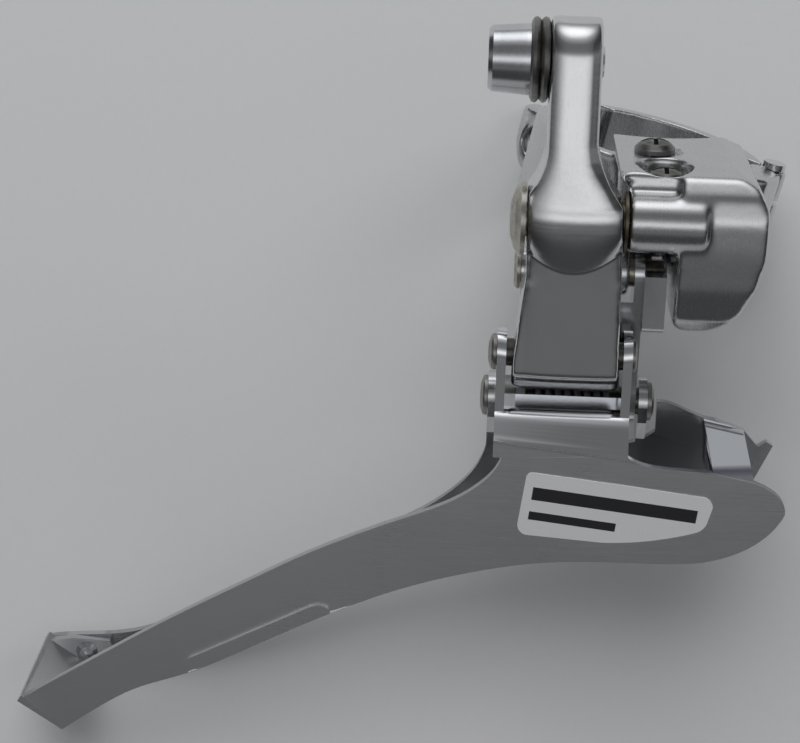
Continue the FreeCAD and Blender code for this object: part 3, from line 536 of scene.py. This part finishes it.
def shape_link(mesh):
    """Form the outer face: a rolled shoulder that ends in a crescent, a flat panel
    below it, and a narrow ledge along the right edge of the upper arm."""
    points = read_points(mesh)
    normals = np.empty(len(points) * 3)
    mesh.vertex_normals.foreach_get("vector", normals)
    x, y, z = transformed(points, TO_LINKAGE).T
    outward = -(normals.reshape(-1, 3) @ np.array(EY))
    outer_side = smoothstep((outward - 0.30) / 0.45)

    crescent = -6.6 + 3.0 * ((x + 0.6) / 6.5) ** 2
    t = np.clip((SHOULDER_TOP - z) / (SHOULDER_TOP - crescent), 0, 1)
    shoulder = SHOULDER_Y + SHOULDER_FALL * t ** 2
    panel = PANEL_Y + np.clip(crescent - z, 0, 30) * PANEL_SLOPE
    below = smoothstep((crescent - z) / 0.55 + 0.5)
    wanted = shoulder * (1 - below) + panel * below
    weight = outer_side * smoothstep((z + 23.4) / 1.8) * smoothstep((0.6 - z) / 0.6)
    shift = (wanted - np.interp(z, *CAD_FACE_Y)) * weight

    from_edge = np.interp(z, ARM_Z, LEDGE_EDGE_X) - x
    ledge = (smoothstep((LEDGE_WIDTH - from_edge) / 0.30) * outer_side
             * smoothstep((z - 2.2) / 1.5) * smoothstep((25.6 - z) / 1.5))
    shift = shift + LEDGE_DEPTH * ledge

    # the outer skin is crowned from edge to edge, deepest at the edges
    outer_y, inner_y = skin_y(y, z)
    middle_y = outer_y + 0.5 * (inner_y - outer_y)
    left = np.interp(z, ARM_Z, ARM_LEFT_X)
    right = np.interp(z, ARM_Z, ARM_RIGHT_X)
    across = np.clip((x - (left + right) / 2) / ((right - left) / 2), -1.1, 1.1)
    skin = np.clip((middle_y - y) / np.maximum(middle_y - outer_y, 0.3), 0, 1)
    shift = shift + np.interp(z, *CROWN_DEPTH) * np.abs(across) ** 2.6 * skin

    write_points(mesh, points + np.outer(shift * MM, np.array(EY)))
    mesh.update()


# ------------------------------------------------------------ forged parts
# voxel size in metres, smoothing rounds
FORGED = {"outer_link": (0.00018, 60), "base_bracket": (0.00022, 84),
          "clamp_band": (0.00024, 10)}
# the parts that run in each forging's bores
BORE_PARTS = {
    "base_bracket": ("clamp_bolt", "high_limit_screw", "low_limit_screw", "upper_pivot_bush"),
    "outer_link": ("cable_anchor_bolt", "lower_outer_pin"),
}
BORE_GAP = 0.00006
BORE_REACH = 0.0018
BORE_PASSES = 3


def clear_bores(mesh, name):
    """Smoothing narrows a bore, so its wall is set back to just outside what runs in it."""
    points = read_points(mesh)
    for other in BORE_PARTS.get(name, ()) * BORE_PASSES:
        source = cad(other).data
        corners = [vertex.co.copy() for vertex in source.vertices]
        tree = BVHTree.FromPolygons(corners, [tuple(p.vertices) for p in source.polygons])
        low = np.min([corner[:] for corner in corners], axis=0) - BORE_GAP
        high = np.max([corner[:] for corner in corners], axis=0) + BORE_GAP
        for k in np.nonzero(((points > low) & (points < high)).all(axis=1))[0]:
            point = Vector(points[k])
            hit, normal, _, _ = tree.find_nearest(point, BORE_REACH)
            if hit is not None and (point - hit).dot(normal) < BORE_GAP:
                points[k] = hit + normal * BORE_GAP
    write_points(mesh, points)
    mesh.update()


def smooth_and_apply(o, rounds):
    """Add smoothing, then make the evaluated result the object's own mesh."""
    smooth = o.modifiers.new("smooth", "SMOOTH")
    smooth.factor = 0.5
    smooth.iterations = rounds
    depsgraph = bpy.context.evaluated_depsgraph_get()
    mesh = bpy.data.meshes.new_from_object(o.evaluated_get(depsgraph))
    o.modifiers.clear()
    o.data = mesh


def forge(name):
    """Remesh and relax a part, so every edge is rounded as a die leaves it."""
    voxel, rounds = FORGED[name]
    # the voxel grid follows the linkage axes, except on the clamp band
    turn = LINKAGE_TURN if name != "clamp_band" else Matrix.Identity(4)
    mesh = cad(name).data.copy()
    mesh.transform(turn.inverted())
    o = add_object(name + "_form", mesh)
    remesh = o.modifiers.new("remesh", "REMESH")
    remesh.mode = "VOXEL"
    remesh.voxel_size = voxel
    smooth_and_apply(o, rounds)
    o.data.transform(turn)
    o.data.update()
    if name == "outer_link":
        shape_link(o.data)
        smooth_and_apply(o, 4)
    clear_bores(o.data, name)
    shade_smooth(o.data)
    replace_cad(o, name)


# ------------------------------------------------------------ outer cage plate
BEND_RADIUS = 5.0
SHEET = 1.2
BEND_Z = -32.8           # z of the bend's centre, which lies at y = 0
BEND_X = (-10.5, 8.9)
# the pressed bend: fraction of the quarter turn, then y and height of the outer skin
BEND_TURN = (0, 0.60, 0.78, 1.0)
BEND_Y = (-BEND_RADIUS, -2.35, -1.30, 0.0)
BEND_HEIGHT = (0.0, 3.85, 4.72, BEND_RADIUS)


def press_plate(name):
    """The outer plate's round top bend becomes a flat sloping face between a crisp
    lower crease, which falls towards +x, and a tight upper bend."""
    mesh = cad(name).data.copy()
    points = transformed(read_points(mesh), TO_LINKAGE)
    x, y, z = points.T
    radius = np.hypot(y, z - BEND_Z)
    angle = np.arctan2(z - BEND_Z, -y)
    bend = ((x > BEND_X[0]) & (x < BEND_X[1])
            & (angle > -0.02) & (angle < math.pi / 2 + 0.02))
    t = np.clip(angle / (math.pi / 2), 0, 1)
    crease = -32.35 - 0.09 * x
    rise = np.interp(t, BEND_TURN, BEND_HEIGHT) / BEND_RADIUS
    outer_y = np.interp(t, BEND_TURN, BEND_Y)
    outer_z = crease + (BEND_Z + BEND_RADIUS - crease) * rise
    for inset in (0.0, SHEET):
        skin = bend & (np.abs(radius - (BEND_RADIUS - inset)) < 0.03)
        new_y = outer_y + inset * np.interp(t, [0, 0.6, 1.0], [1.0, 0.75, 0.0])
        new_z = outer_z - inset * np.interp(t, [0, 0.6, 1.0], [0.0, 0.62, 1.0])
        y[skin] = new_y[skin]
        z[skin] = new_z[skin]
    write_points(mesh, transformed(points, TO_SCENE))

    bm = bmesh.new()
    bm.from_mesh(mesh)
    bmesh.ops.remove_doubles(bm, verts=bm.verts, dist=2e-6)
    bm.to_mesh(mesh)
    bm.free()
    # the CAD's stored normals, where it has them, no longer fit the new shape
    if mesh.attributes.get("custom_normal"):
        mesh.attributes.remove(mesh.attributes["custom_normal"])
    shade_smooth(mesh)
    mesh.set_sharp_from_angle(angle=math.radians(24))

    o = add_object(name + "_form", mesh)
    add_bevel(o, *PLATE_BEVEL)
    weighted = o.modifiers.new("flat_faces", "WEIGHTED_NORMAL")
    weighted.mode = "FACE_AREA"
    weighted.weight = 50
    weighted.keep_sharp = True
    replace_cad(o, name)


for name in SLOT:
    if name in FORGED:
        forge(name)
    elif name == "cage_outer_plate":
        press_plate(name)
    else:
        dress(name)

# ------------------------------------------------------------ camera
ELEVATION, AZIMUTH, ROLL = math.radians(20), math.radians(2.5), math.radians(1.5)
sin_e, cos_e = math.sin(ELEVATION), math.cos(ELEVATION)
sin_a, cos_a = math.sin(AZIMUTH), math.cos(AZIMUTH)
level = Vector((cos_a, sin_a, 0))
upright = Vector((-sin_a * sin_e, cos_a * sin_e, cos_e))
forward = Vector((-sin_a * cos_e, cos_a * cos_e, -sin_e))
right = level * math.cos(ROLL) + upright * math.sin(ROLL)
up = -level * math.sin(ROLL) + upright * math.cos(ROLL)
# linkage mm along the view's right and up, and back from the pivot
eye = -24.7 * right - 20.97 * up - 280.0 * forward
RIGHT, UP, FORWARD = (linkage_direction(*axis) for axis in (right, up, forward))

camera_data = bpy.data.cameras.new("camera")
camera = add_object("camera", camera_data)
camera.matrix_world = axes_matrix(RIGHT, UP, -FORWARD, linkage_point(*eye))
camera_data.sensor_width = 36.0
camera_data.lens = 90.72
camera_data.clip_start, camera_data.clip_end = 0.01, 10.0
bpy.context.scene.camera = camera

# ------------------------------------------------------------ table
# It touches the clamp's far side and the cage's tail, level with the view's right.
clamp_far = linkage_point(10.7, 55.6, 2.0)
cage_tail = linkage_point(-76.0, 9.6, -79.5)
middle = (clamp_far + cage_tail) / 2
TABLE_HALF = 1.6


def table_paper():
    """Matt grey paper, seen through from behind."""
    surf = Surface("table_paper")
    grain = surf.noise(surf.coords(), scale=0.9, detail=5)
    color = surf.mix(grain, (0.470, 0.480, 0.488), (0.490, 0.500, 0.508))
    surf.shader.inputs["Specular IOR Level"].default_value = 0.2
    clear = surf.new("ShaderNodeBsdfTransparent").outputs[0]
    surf.feed(surf.output, surf.mix_shader(surf.geometry("Backfacing"),
                                           surf.shader.outputs[0], clear))
    return surf.finish(color, roughness=0.75, metallic=0.0)


def build_table():
    slope = cage_tail - clamp_far
    slope = slope - RIGHT * slope.dot(RIGHT)
    normal = slope.cross(RIGHT).normalized()
    upward = normal.cross(RIGHT).normalized()
    mesh = bpy.data.meshes.new("table")
    corners = [middle + RIGHT * a * TABLE_HALF + upward * b * TABLE_HALF
               for a, b in ((-1, -1), (1, -1), (1, 1), (-1, 1))]
    mesh.from_pydata(corners, [], [(0, 1, 2, 3)])
    table = add_object("table", mesh)
    mesh.materials.append(table_paper())


build_table()


# ------------------------------------------------------------ lights
def area(name, offset, size, power, color):
    """A square lamp aimed at the middle, hidden from reflections.
    The offset is in metres along the view's right, up and towards the camera."""
    lamp = bpy.data.lights.new(name, "AREA")
    lamp.shape = "RECTANGLE"
    lamp.size = lamp.size_y = size
    lamp.energy = power
    lamp.color = color
    o = add_object(name, lamp)
    o.location = place = middle + RIGHT * offset[0] + UP * offset[1] - FORWARD * offset[2]
    o.rotation_mode = "QUATERNION"
    o.rotation_quaternion = (middle - place).to_track_quat("-Z", "Y")
    o.visible_glossy = False


area("key", offset=(-0.12, 0.52, 0.66), size=0.80, power=5.75, color=(1.0, 0.995, 0.98))
area("edge", offset=(0.55, 0.30, 0.30), size=0.25, power=0.7, color=(0.96, 0.98, 1.0))

# ------------------------------------------------------------ world
# sine of the height above the linkage's xy plane, brightness
SKY = [
    (-1.0, 0.05), (-0.62, 0.055), (-0.50, 0.07), (-0.43, 0.14), (-0.37, 0.165),
    (-0.30, 0.13), (-0.20, 0.12), (-0.08, 0.24), (0.0, 0.55), (0.09, 0.95), (0.22, 0.90),
    (0.34, 0.42), (0.50, 0.16), (0.80, 0.14), (0.93, 0.40), (0.98, 1.2), (1.0, 1.5)]


def build_world():
    """Banded sky that dims to either side; the camera itself sees plain grey."""
    world = bpy.data.worlds.new("studio")
    bpy.context.scene.world = world
    sky = Nodes(world)
    direction = sky.new("ShaderNodeTexCoord").outputs["Generated"]
    height = sky.remap(sky.dot(direction, EZ), source=(-1, 1))
    bands = sky.ramp(height, [((sine + 1) / 2, (glow * 0.985, glow, glow * 1.02))
                              for sine, glow in SKY])
    sideways = sky.math("ABSOLUTE", sky.dot(direction, RIGHT))
    dimming = sky.remap(sideways, source=(0.22, 0.90), to=(1.0, 0.20), smooth=True)
    studio = sky.new("ShaderNodeBackground")
    sky.feed(studio.inputs[0], bands)
    sky.feed(studio.inputs[1], dimming)
    backdrop = sky.new("ShaderNodeBackground")
    sky.feed(backdrop.inputs[0], (0.60, 0.605, 0.61))
    seen = sky.new("ShaderNodeLightPath").outputs["Is Camera Ray"]
    output = sky.new("ShaderNodeOutputWorld")
    sky.feed(output.inputs[0], sky.mix_shader(seen, studio.outputs[0], backdrop.outputs[0]))


build_world()
bpy.context.scene.view_settings.view_transform = "Standard"
